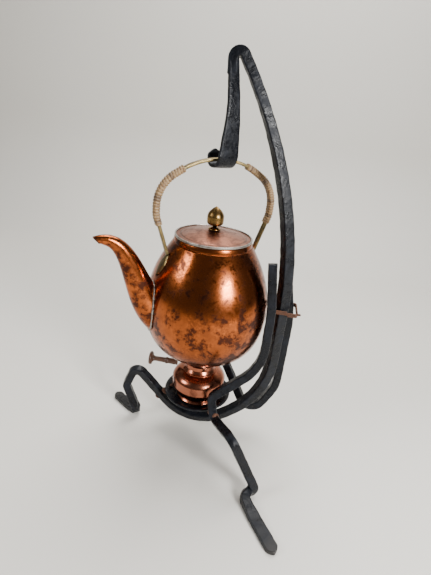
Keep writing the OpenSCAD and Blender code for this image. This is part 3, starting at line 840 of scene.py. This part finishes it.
@dataclass
class Kettle:
    """The kettle's body, spout, bail and cane wrapping. Lengths are in mm.

    Attributes:
        shop: Workshop that makes the pieces.
        floor_z: Height of the body's flat bottom.
        floor_r: Its radius.
        belly_z: Height of the widest place.
        belly_r: Radius there.
        shoulder_z: Height of the body's top edge.
        shoulder_r: Radius there.
        sheet: Thickness of the copper.
        collar_in: Inner radius of the collar.
        bail_azimuth: Way from the spout to the far side, in degrees.
        crown_z: Height of the bail's underside on the hook.
        bail_thick: Thickness of the bail's strap.
        bail_wide: Its width.
        cane: Thickness of the cane.
        cane_pitch: Width of one turn of it.
        cane_low: Height of its lower ends.
        spout_wall: Thickness of the spout.
        spout_sides: Points round the spout.
        eye: Ring and point on the spout where the painted shade spot near the beak's opening is centred.
    """

    shop: Workshop
    floor_z: float = 115.5
    floor_r: float = 28.5
    belly_z: float = 170.0
    belly_r: float = 66.0
    shoulder_z: float = 243.0
    shoulder_r: float = 40.5
    sheet: float = 1.2
    collar_in: float = 37.0
    bail_azimuth: float = 32.0
    crown_z: float = 322.5
    bail_thick: float = 3.2
    bail_wide: float = 6.0
    cane: float = 1.75
    cane_pitch: float = 2.7
    cane_low: float = 262.0
    spout_wall: float = 1.1
    spout_sides: int = 64
    eye: tuple[int, int] = (103, 24)

    def __post_init__(self) -> None:
        """Works out the body's profile: two cubic curves that meet upright at the belly."""
        belly = (self.belly_r, self.belly_z)
        low = bent((self.floor_r, self.floor_z), (50, self.floor_z + 0.5), (self.belly_r, 137), belly, 60)
        high = bent(belly, (self.belly_r, 198), (56, 220), (self.shoulder_r, self.shoulder_z), 60)
        self.profile = np.vstack([low, high[1:]])

    def build(self) -> None:
        """Builds every piece of the kettle."""
        self._body()
        self._base_ring()
        self._collar()
        self._spout()
        self._bail()

    def radius_at(self, z: Array) -> Array:
        """Outer radius of the body at a height."""
        return np.interp(z, self.profile[:, 1], self.profile[:, 0])

    def _body(self) -> None:
        """Thin copper shell. Its radius dips by up to 1 per cent in slow waves, as beaten sheet does."""
        way = tangents(self.profile)
        inner = self.profile + np.stack([-way[:, 1], way[:, 0]], axis=1) * self.sheet
        bottom, top_of_bottom = [(0, self.floor_z)], [(0, self.floor_z + self.sheet)]
        shell = turned(np.vstack([bottom, self.profile, inner[::-1], top_of_bottom]), 192)
        x, y, z = (shell.rings[..., i] for i in range(3))
        angle = np.arctan2(y, x)
        broad = 1 + np.sin(3 * angle + z / 19) * np.sin(z / 27 + 2)
        small = 1 + np.sin(7 * angle - z / 9)
        shell.rings[..., :2] *= (1 - 0.0028 * broad - 0.0012 * small)[..., None]
        self.shop.add("kettle_body", [shell], COPPER, Body.KETTLE, "aged_copper")

    def _base_ring(self) -> None:
        """Rolled ring that the body stands on."""
        inner, outer, top = self.floor_r - 2, self.floor_r + 1, self.floor_z - 0.05
        low = self.floor_z - 3
        ring = outline([(inner, low), (outer, low), (outer + 1, low + 1.5), (outer, top), (inner, top)], 0.5)
        self.shop.add("base_ring", [turned(ring, loop=True)], LID_COPPER, Body.KETTLE, "dull_copper")

    def _collar(self) -> None:
        """Short neck that the lid drops into."""
        z, r = self.shoulder_z, self.collar_in
        ring = outline([(r, z), (self.shoulder_r, z), (self.shoulder_r - 1, z + 4.5), (r, z + 4.5)], 0.7)
        self.shop.add("collar", [turned(ring, loop=True)], COPPER, Body.KETTLE, "aged_copper")

    def _spout(self) -> None:
        """Swan neck along a cubic curve, cut back at the beak, with painted shade: a dark spot near the
        beak's opening, a darker mouth and a dark inside.

        At share t, half the height is 3.8 + 15 (1 - t)^1.1 and half the width 3.4 + 11.6 (1 - t)^1.1.
        """
        t = np.linspace(0, 1, 110)
        flat = bent((52, 164), (83, 189), (80, 257), (118, 248), len(t))
        path = heading(self.bail_azimuth + 180) * flat[:, :1] + UP * flat[:, 1:]
        tall, wide = 3.8 + 15 * (1 - t) ** 1.1, 3.4 + 11.6 * (1 - t) ** 1.1
        sides = carried(path, heading(self.bail_azimuth + 270))
        outer = swept(path, sides, wide, tall, 2.1, self.spout_sides)
        inner = swept(path, sides, wide - self.spout_wall, tall - self.spout_wall, 2.1, self.spout_sides)
        ahead = tangents(path)
        spoke = outer.rings - path[:, None]
        over = (spoke * np.cross(ahead, sides)[:, None]).sum(-1)
        aside = (spoke * sides[:, None]).sum(-1)
        lean = smoothstep(t, 0.9, 1.0)[:, None] * (1 - np.sin(np.arctan2(over, aside))) * 1.9
        for shell in (outer, inner):
            shell.rings -= ahead[:, None] * lean[..., None]
        # Painted shade: a dark spot by the beak's opening and a darker mouth on the outside, and the whole
        # inside of the spout at 0.7 shade.
        eye = np.linalg.norm(outer.rings - outer.rings[self.eye], axis=-1)
        mouth = (smoothstep(t, 0.975, 1.0) * 0.75)[:, None]
        painted_beak_shade = np.clip(smoothstep(-eye, -2.6, -1.6) * 0.9 + mouth, 0, 1)
        rings = np.concatenate([outer.rings, inner.rings[::-1]])
        shade = np.concatenate([painted_beak_shade, np.full(painted_beak_shade.shape, 0.7)])
        self.shop.add("spout", [Shell(rings, True, shade)], COPPER, Body.KETTLE, "aged_copper")
        self._seam(outer.rings)

    def _seam(self, rings: Array) -> None:
        """Bead of solder where spout and body cross: an uneven oval carried round that line."""
        reach = np.hypot(rings[..., 0], rings[..., 1]) - self.radius_at(rings[..., 2])
        row = np.argmax(reach > 0.3, axis=0)
        loop = rings[row, np.arange(self.spout_sides)]
        for _ in range(4):
            loop = (np.roll(loop, 1, 0) + loop * 2 + np.roll(loop, -1, 0)) / 4
        fine, closed = np.arange(0, self.spout_sides, 0.25), np.vstack([loop, loop[:1]])
        whole = np.arange(len(closed))
        loop = np.stack([np.interp(fine, whole, closed[:, i]) for i in range(3)], axis=1)
        along = unit(np.roll(loop, -1, 0) - np.roll(loop, 1, 0))
        out = unit(loop * [1, 1, 0])
        out = unit(out - (out * along).sum(1, keepdims=True) * along)
        flat = np.cross(along, out)
        a = np.linspace(0, 2 * math.pi, 14, endpoint=False)
        q = np.arange(len(loop))[:, None]
        fat = 1.0 + 0.18 * np.sin(q * 0.61) + 0.12 * np.sin(q * 0.23 + 1)
        bead = (loop[:, None] + out[:, None] * (fat * 0.7 * np.cos(a))[..., None]
                + flat[:, None] * (fat * 1.5 * np.sin(a))[..., None])
        self.shop.add("spout_seam", [Shell(bead, True)], TIN, Body.KETTLE, "tin_solder")

    def _bail(self) -> None:
        """Brass strap, its leaf-shaped feet, and the cane wound round it."""
        half = [((48.5, 232), 0), ((61.5, 271), 26), ((61.5, 299.2), 34)]
        crown = ((0, self.crown_z + 14.7), 76)
        flat = respaced(rounded([((-x, z), r) for (x, z), r in half] + [crown] + half[::-1]), 0.25)
        path = heading(self.bail_azimuth) * flat[:, :1] + UP * flat[:, 1:]
        sides = np.broadcast_to(heading(self.bail_azimuth + 90), path.shape)
        strap = swept(path[::5], sides[::5], self.bail_wide / 2, self.bail_thick / 2, 5, 28, 0.12)
        self.shop.add("bail", [strap], BRASS, Body.KETTLE, "aged_brass")
        high = flat[:, 1] > self.cane_low
        wraps = {"cane_wrap_left": high & (flat[:, 0] < -37), "cane_wrap_right": high & (flat[:, 0] > 28)}
        for name, part in wraps.items():
            self._cane(name, path[part], sides[part])
        leaves = [self._leaf(self.bail_azimuth + turn) for turn in (0, 180)]
        self.shop.add("bail_feet", leaves, BRASS, Body.KETTLE, "aged_brass")

    def _cane(self, name: str, path: Array, sides: Array) -> None:
        """Windings: the thickness rises and falls along a helix of even pitch; the grooves between windings
        get painted shade, and a few bands are the cane's own darker colour.
        """
        count, power = 48, 4
        s = travelled(path)[:, None]
        a = np.linspace(0, 2 * math.pi, count, endpoint=False)[None]
        wave = np.abs(np.sin(math.pi * (s / self.cane_pitch + a / (2 * math.pi)))) ** 0.55
        grow = (0.35 + 0.65 * wave) * self.cane * 0.96
        rings = ringed(path, sides, self.bail_wide / 2 + grow * 0.6, self.bail_thick / 2 + grow,
                       section(count, power))
        # Painted shade in the grooves between windings (1 - wave); the bands are the cane's own darker
        # colour.
        band = 0.55 * (np.sin(s / 3.3 + np.sin(s / 8.5)) > 0.86)
        shade = np.clip((1 - wave) ** 1.5 * 0.9 + band, 0, 1)
        self.shop.add(name, [Shell(rings, False, shade)], CANE, Body.KETTLE, "cane")

    def _leaf(self, azimuth: float) -> Shell:
        """Leaf lying on the shoulder: each ring runs over its front and back along the body's curve."""
        z = np.linspace(210.2, 231, 40)
        half = np.interp(z, [210, 213, 218, 222.6, 231], [0.2, 3.2, 5.4, 6.5, 3.25])
        across = np.linspace(-1, 1, 15)
        r = self.radius_at(z)[:, None]
        a = math.radians(azimuth) + half[:, None] * across / r
        front = r + 0.15 + 1.2 * np.sqrt(1 - 0.85 * across**2)
        back = r - 0.3 + 0 * across

        def at(radius: Array) -> Array:
            """Points at a radius along the same arcs."""
            return np.stack([radius * np.cos(a), radius * np.sin(a), z[:, None] + 0 * a], axis=-1)

        return Shell(np.concatenate([at(front), at(back)[:, ::-1]], axis=1))


# ---- lid ---------------------------------------------------------------------


@dataclass
class Lid:
    """The lid, its rim and flange, and the acorn knob. Lengths are in mm.

    Attributes:
        shop: Workshop that makes the pieces.
        base_z: Height of the rim's underside.
        radius: Radius of the rim.
        rise: How far the lid rises to its middle.
        rim: Height of the rim.
        rim_in: Inset of the rim's inner edge.
        hole: Radius of the hole for the knob's stem.
        sheet: Thickness of the plate.
        grooves: (radius, depth, half width) of the turned lines.
        flange_in: Inner radius of the flange.
        knob_r: Radius of the knob.
        knob_h: Its height.
        stem: Radius of its stem.
    """

    shop: Workshop
    base_z: float = 247.8
    radius: float = 39.6
    rise: float = 7.0
    rim: float = 2.4
    rim_in: float = 1.6
    hole: float = 2.2
    sheet: float = 1.2
    grooves: tuple[tuple[float, float, float], ...] = ((33.5, 0.28, 0.7), (11, 0.2, 0.8))
    flange_in: float = 35.7
    knob_r: float = 8.5
    knob_h: float = 19.0
    stem: float = 2.0

    def build(self) -> None:
        """Builds every piece of the lid. All are turned."""
        z, edge = self.base_z, self.radius - self.rim_in
        apex = z + self.rim / 2 + self.rise
        self._plate(apex, edge)
        top = z + self.rim
        rim = outline([(edge, z), (self.radius, z), (self.radius, top), (edge, top)], 0.9, 6)
        self.shop.add("lid_rim", [turned(rim, loop=True)], TIN, Body.LID, "tin_solder")
        inner, outer = self.flange_in, self.flange_in + 1
        skirt = outline([(inner, z - 9), (outer, z - 9), (outer, z + 0.4), (inner, z + 0.4)], 0.3)
        self.shop.add("lid_flange", [turned(skirt, loop=True)], TIN, Body.LID, "tin_solder")
        self._knob(apex)
        self._fasteners(apex)

    def _plate(self, apex: float, edge: float) -> None:
        """Low cone with turned grooves: each groove is a bell curve taken off the height, and the outer
        groove gets painted shade.
        """
        r = np.linspace(self.hole, edge, 70)
        top = apex - self.rise * ((r - self.hole) / (edge - self.hole)) + 0.55
        top -= sum(depth * np.exp(-(((r - at) / half) ** 2)) for at, depth, half in self.grooves)
        under, over = top - 0.55 - self.sheet, np.minimum(top - 0.55, apex)
        profile = np.vstack([np.stack([r, under], 1), np.stack([r, over], 1)[::-1]])
        # Painted shade along the outer groove.
        painted_groove_shade = np.exp(-((profile[:, 0] - self.grooves[0][0]) ** 2)) * 0.6
        plate = turned(profile, loop=True, shade=painted_groove_shade)
        self.shop.add("lid_plate", [plate], LID_COPPER, Body.LID, "dull_copper")

    def _knob(self, apex: float) -> None:
        """Acorn knob of two cubic curves on its stem, with a fine groove above its foot."""
        base, r, h = apex + 4.6, self.knob_r, self.knob_h
        low = bent((3, 0), (r * 1.1, 0), (r, 3), (r, 8), 30)
        high = bent((r, 8), (r, 13), (4, h - 2.5), (0, h), 30)
        acorn = np.vstack([low, high[1:]]) + [0, base]
        acorn[:, 0] -= 0.12 * np.exp(-(((acorn[:, 1] - base - 4.0) / 0.5) ** 2))
        stem = [(0, apex - 4.4), (self.stem, apex - 4.4), (self.stem, base + 0.1)]
        self.shop.add("lid_knob", [turned(np.vstack([stem, acorn]), 72)], KNOB_BRASS, Body.LID, "aged_brass")

    def _fasteners(self, apex: float) -> None:
        """The washer above the lid and the nut below it."""
        bore, low, top = self.stem + 0.05, apex + 0.1, apex + 2.6
        washer = outline([(bore, low), (6.4, low), (6.4, apex + 1), (3.2, top), (bore, top)], 0.5)
        self.shop.add("knob_washer", [turned(washer, 72, True)], KNOB_BRASS, Body.LID, "aged_brass")
        low, top = apex - 4.4, apex - 2.2
        nut = outline([(self.stem, low), (3.7, low), (3.7, top), (self.stem, top)], 0.3)
        self.shop.add("knob_nut", [turned(nut, 6, True)], KNOB_BRASS, Body.LID, "aged_brass")


# ---- burner ------------------------------------------------------------------


@dataclass
class Burner:
    """The spirit burner and its regulator. Lengths are in mm.

    Attributes:
        shop: Workshop that makes the pieces.
        base_z: Height of the font's foot.
        foot_r: Radius of the foot.
        foot_h: Its height.
        height: Height of the font.
        bulge: Largest radius of the font.
        neck: Height of the neck above the font.
        wick_r: Radius of the wick.
        arm_x: How far out the arm stands.
        handle: Length of the handle.
        handle_z: Height of its middle.
    """

    shop: Workshop
    base_z: float = 50.3
    foot_r: float = 24.5
    foot_h: float = 4.0
    height: float = 37.0
    bulge: float = 30.75
    neck: float = 11.5
    wick_r: float = 4.1
    arm_x: float = 28.0
    handle: float = 32.0
    handle_z: float = 90.0

    def build(self) -> None:
        """Builds the font, neck, wick and regulator."""
        shoulder = self.base_z + self.height
        mouth = shoulder + self.neck
        self._font(shoulder)
        self._neck(shoulder, mouth)
        self._wick(shoulder, mouth)
        self._regulator(mouth)

    def _copper(self, name: str, profile: Array, loop: bool) -> None:
        """One turned copper piece of the burner."""
        self.shop.add(name, [turned(profile, loop=loop)], BURNER_COPPER, Body.BURNER, "dull_copper")

    def _font(self, top: float) -> None:
        """Hollow reservoir, a cubic curve cut off at its bulge, and the ring under it."""
        z, r = self.base_z, self.foot_r
        edge = bent((r - 1.5, z + self.foot_h), (31.8, z + 14), (37.8, top - 6), (19.5, top), 60)
        edge[:, 0] = np.minimum(edge[:, 0], self.bulge)
        inner = edge[2:-2][::-1] - [1.0, 0]
        sill = z + self.foot_h
        font = np.vstack([[(0, sill)], edge, [(12, top), (12, top - 1)], inner, [(0, sill + 1)]])
        self._copper("font", font, False)
        foot = [(19.5, z), (r - 0.6, z), (r, z + 0.8), (r, z + 2), (r - 2, sill), (19.5, sill)]
        self._copper("font_foot", outline(foot, 0.6), True)

    def _neck(self, low: float, high: float) -> None:
        """Cone over the font, with a shoulder ring at its foot."""
        outside = [(12.5, low + 0.05), (19.5, low + 0.05), (19.5, low + 1.2), (18.2, low + 1.7),
                   (15.6, low + 5.5), (14, high - 2), (13, high), (5.2, high)]
        inside = [(5.2, high - 1.2), (12, high - 1.2), (14.5, low + 5.5), (17, low + 1.6), (12.5, low + 1.2)]
        self._copper("burner_neck", outline(outside + inside, 0.7), True)

    def _wick(self, low: float, high: float) -> None:
        """Brass tube, and a cotton wick in it with a charred end."""
        tube = outline([(4.3, low - 8), (5, low - 8), (5, high + 0.5), (4.3, high + 0.5)], 0.2)
        self.shop.add("wick_tube", [turned(tube, 48, True)], KNOB_BRASS, Body.BURNER, "aged_brass")
        base, r = self.base_z + 10, self.wick_r
        wick = outline([(0, base), (r, base), (r, high + 3.8), (0, high + 4)], 0.8, 5, False)
        char = smoothstep(wick[:, 1], high + 1.5, high + 3.8)
        self.shop.add("wick", [turned(wick, 48, False, char)], COTTON, Body.BURNER, "cotton")

    def _regulator(self, mouth: float) -> None:
        """Collar round the neck, an arm, and a turned handle that points to -X."""
        z, x = mouth - 5.5, self.arm_x
        ring = outline([(16.4, z), (18, z), (18, z + 5), (16.4, z + 5)], 0.4)
        collar = turned(ring, 96, True)
        self.shop.add("regulator_collar", [collar], BURNER_COPPER, Body.REGULATOR, "aged_brass")
        bends = [((-18, 0, z + 2.3), 0), ((-x, 0, z + 2.3), 2), ((-x, 0, self.handle_z - 2.8), 0)]
        path = respaced(rounded(bends, 8), 0.6)
        arm = swept(path, np.broadcast_to([0, 1.0, 0], path.shape), 1.95, 1.25, 6, 24)
        self.shop.add("regulator_arm", [arm], WOOD, Body.REGULATOR, "dark_wood")
        n = self.handle
        grip = [(0, 0), (3.6, 0), (3.3, 8.6), (3.9, 9.6), (3.9, 11.2), (3.2, 12.4), (2.8, n - 8)]
        disc = [(3.6, n - 5), (7, n - 4), (7.9, n - 2.5), (7.4, n - 0.8), (0, n)]
        lying = Matrix.Rotation(-math.pi / 2, 4, "Y")
        place = Matrix.Translation(Vector((-x - 1.3, 0, self.handle_z))) @ lying
        handle = turned(outline(grip + disc, 1.2, 6, False), 64).moved(place)
        self.shop.add("regulator_handle", [handle], WOOD, Body.REGULATOR, "dark_wood")


# ---- studio ------------------------------------------------------------------


@dataclass(frozen=True)
class Lamp:
    """A square soft light.

    Attributes:
        name: Its name.
        place: Where it hangs, in metres.
        size: Side of the square, in metres.
        power: Power in watts.
    """

    name: str
    place: tuple[float, float, float]
    size: float
    power: float


@dataclass
class Studio:
    """Pale floor and wall, soft light, and the camera. Lengths are in metres and angles in degrees.

    Attributes:
        eye: Where the camera stands.
        aim: What the lamps point at.
        heading: Turn of the camera to its left, from +Y.
        pitch: Its tilt down.
        roll: Its roll.
        lens: Focal length in mm on a 36 mm sensor.
        wall_y: Where the floor starts to bend up.
        wall_bend: Radius of the bend.
        reach: How far floor and wall run.
        sky: Strength of the world's light.
        lamps: The soft lights.
    """

    eye: Vector = field(default_factory=lambda: Vector((0.04171, -0.38784, 0.366)))
    aim: Vector = field(default_factory=lambda: Vector((0.0, 0.0, 0.19)))
    heading: float = 5.0
    pitch: float = 24.0
    roll: float = 6.54
    lens: float = 24.92
    wall_y: float = 0.6
    wall_bend: float = 0.3
    reach: float = 3.0
    sky: float = 0.16
    lamps: tuple[Lamp, ...] = (Lamp("window", (0.62, -0.62, 0.50), 0.26, 15.0),
                               Lamp("fill", (-0.9, -0.5, 0.75), 0.38, 7.0),
                               Lamp("top", (0.1, 0.45, 1.35), 0.9, 27.0))

    def build(self) -> None:
        """Builds the stage."""
        self._floor()
        for lamp in self.lamps:
            self._light(lamp)
        self._world()
        self._camera()

    def _floor(self) -> None:
        """Floor that curves up into a wall behind the object."""
        q = np.linspace(0, math.pi / 2, 16)
        y = np.concatenate([[-self.reach, self.wall_y], self.wall_y + self.wall_bend * np.sin(q),
                            [self.wall_y + self.wall_bend]])
        z = np.concatenate([[0, 0], self.wall_bend - self.wall_bend * np.cos(q), [self.reach]])
        verts = [(x, float(b), float(c)) for b, c in zip(y, z) for x in (-self.reach, self.reach)]
        faces = [(2 * i, 2 * i + 1, 2 * i + 3, 2 * i + 2) for i in range(len(y) - 1)]
        mesh = bpy.data.meshes.new("floor")
        mesh.from_pydata(verts, [], faces)
        mesh.shade_smooth()
        pale = bpy.data.materials.new("pale")
        pale.use_nodes = True
        shader = pale.node_tree.nodes["Principled BSDF"]
        shader.inputs["Base Color"].default_value = (0.66, 0.635, 0.58, 1.0)
        shader.inputs["Roughness"].default_value = 0.7
        mesh.materials.append(pale)
        floor = bpy.data.objects.new("floor", mesh)
        bpy.context.scene.collection.objects.link(floor)
        floor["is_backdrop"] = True

    def _light(self, lamp: Lamp) -> None:
        """One lamp, turned to the aim."""
        data = bpy.data.lights.new(lamp.name, "AREA")
        data.energy, data.size = lamp.power, lamp.size
        made = bpy.data.objects.new(lamp.name, data)
        made.location = lamp.place
        made.rotation_euler = (self.aim - Vector(lamp.place)).to_track_quat("-Z", "Y").to_euler()
        bpy.context.scene.collection.objects.link(made)

    def _world(self) -> None:
        """Even, faintly cool light from all round."""
        world = bpy.context.scene.world or bpy.data.worlds.new("world")
        bpy.context.scene.world = world
        world.use_nodes = True
        back = world.node_tree.nodes.get("Background") or world.node_tree.nodes.new("ShaderNodeBackground")
        back.inputs["Color"].default_value = (0.80, 0.80, 0.82, 1.0)
        back.inputs["Strength"].default_value = self.sky

    def _camera(self) -> None:
        """Camera from its place, heading, pitch and roll."""
        h, p, r = (math.radians(v) for v in (self.heading, self.pitch, self.roll))
        level = Vector((-math.sin(h), math.cos(h), 0))
        ahead = level * math.cos(p) + Vector((0, 0, -math.sin(p)))
        right0 = Vector((math.cos(h), math.sin(h), 0))
        up0 = level * math.sin(p) + Vector((0, 0, math.cos(p)))
        right = right0 * math.cos(r) + up0 * math.sin(r)
        up = -right0 * math.sin(r) + up0 * math.cos(r)
        data = bpy.data.cameras.new("camera")
        data.lens, data.sensor_width, data.sensor_fit = self.lens, 36.0, "AUTO"
        data.clip_start = 0.01
        cam = bpy.data.objects.new("camera", data)
        cam.matrix_world = Matrix.Translation(self.eye) @ Matrix((right, up, -ahead)).transposed().to_4x4()
        bpy.context.scene.collection.objects.link(cam)
        bpy.context.scene.camera = cam


def corners() -> list[list[float]]:
    """The object's bounds as plain lists."""
    return [list(c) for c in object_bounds()]


def main() -> None:
    logging.basicConfig(level=logging.INFO, format="%(message)s")
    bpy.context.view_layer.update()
    shop = Workshop()
    for part in (Stand(shop), Kettle(shop), Lid(shop), Burner(shop)):
        part.build()
    Studio().build()
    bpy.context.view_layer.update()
    log.info("pieces: %d", len(shop.names))


if __name__ == "__main__":
    main()
